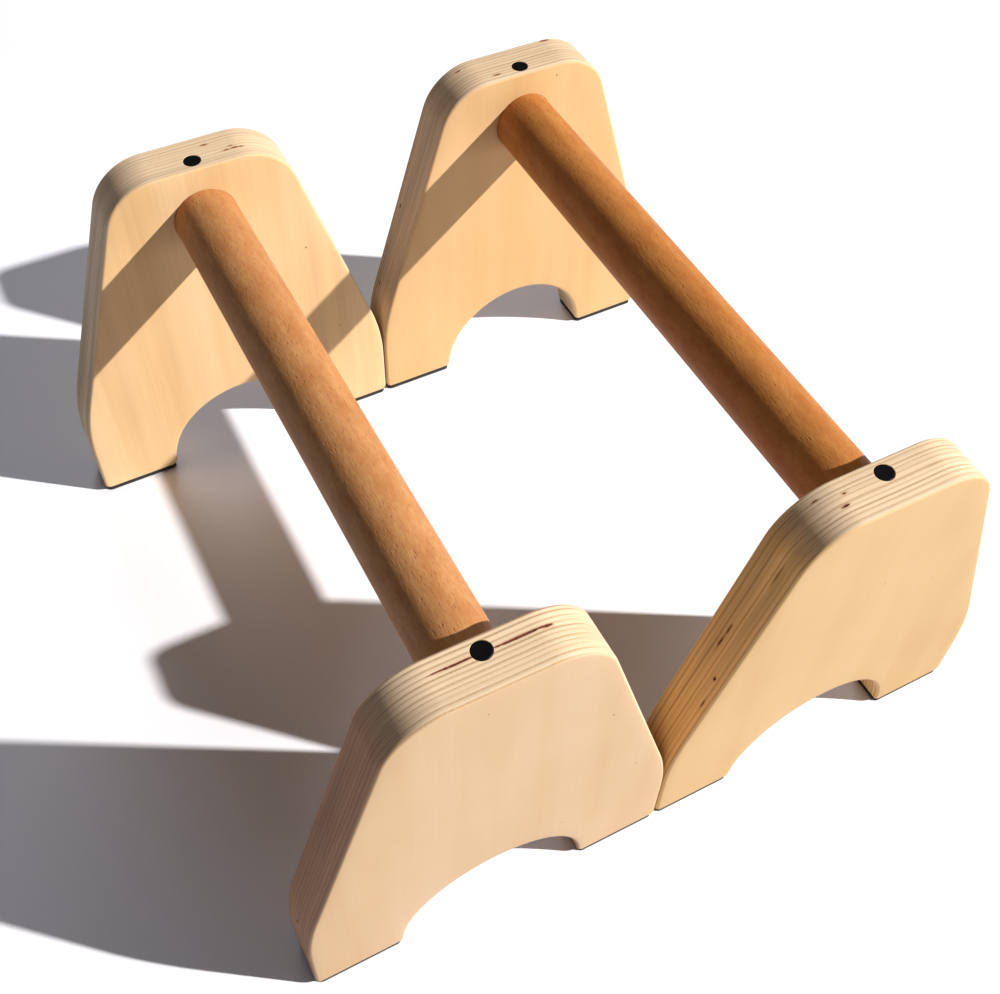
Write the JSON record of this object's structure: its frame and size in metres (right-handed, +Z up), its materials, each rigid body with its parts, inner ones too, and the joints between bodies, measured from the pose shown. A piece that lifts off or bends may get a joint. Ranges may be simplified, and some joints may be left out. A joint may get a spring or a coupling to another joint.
{
  "type": "parallettes",
  "caption": "Low free-standing wooden parallel bars for push-ups: round grip bars between tapered plywood plates with arched feet and rubber pads.",
  "frame": {"origin": "on the floor, under the middle of the pair standing side by side", "axes": "+X across the two units from left to right, +Y along the grip bars from front to back, +Z up"},
  "size_m": [0.4362, 0.4138, 0.245],
  "materials": {
    "plywood": "sanded birch plywood, clear oiled, plies showing on the edges",
    "beech": "satin varnished steamed beech",
    "steel": "zinc plated",
    "cap_plastic": "matte black",
    "rubber": "black sheet rubber"
  },
  "bodies": {
    "left_unit": {"left_grip_bar": "beech", "left_front_plate": "plywood", "left_front_screw": "steel", "left_front_cap": "cap_plastic", "left_front_outer_pad": "rubber", "left_front_inner_pad": "rubber", "left_back_plate": "plywood", "left_back_screw": "steel", "left_back_cap": "cap_plastic", "left_back_outer_pad": "rubber", "left_back_inner_pad": "rubber"},
    "right_unit": {"right_grip_bar": "beech", "right_front_plate": "plywood", "right_front_screw": "steel", "right_front_cap": "cap_plastic", "right_front_outer_pad": "rubber", "right_front_inner_pad": "rubber", "right_back_plate": "plywood", "right_back_screw": "steel", "right_back_cap": "cap_plastic", "right_back_outer_pad": "rubber", "right_back_inner_pad": "rubber"}
  },
  "joints": [
    {"name": "right_unit_slide", "type": "slide", "parent": "left_unit", "child": "right_unit", "axis": [1, 0, 0], "range_m": [0, 0.4]}
  ]
}
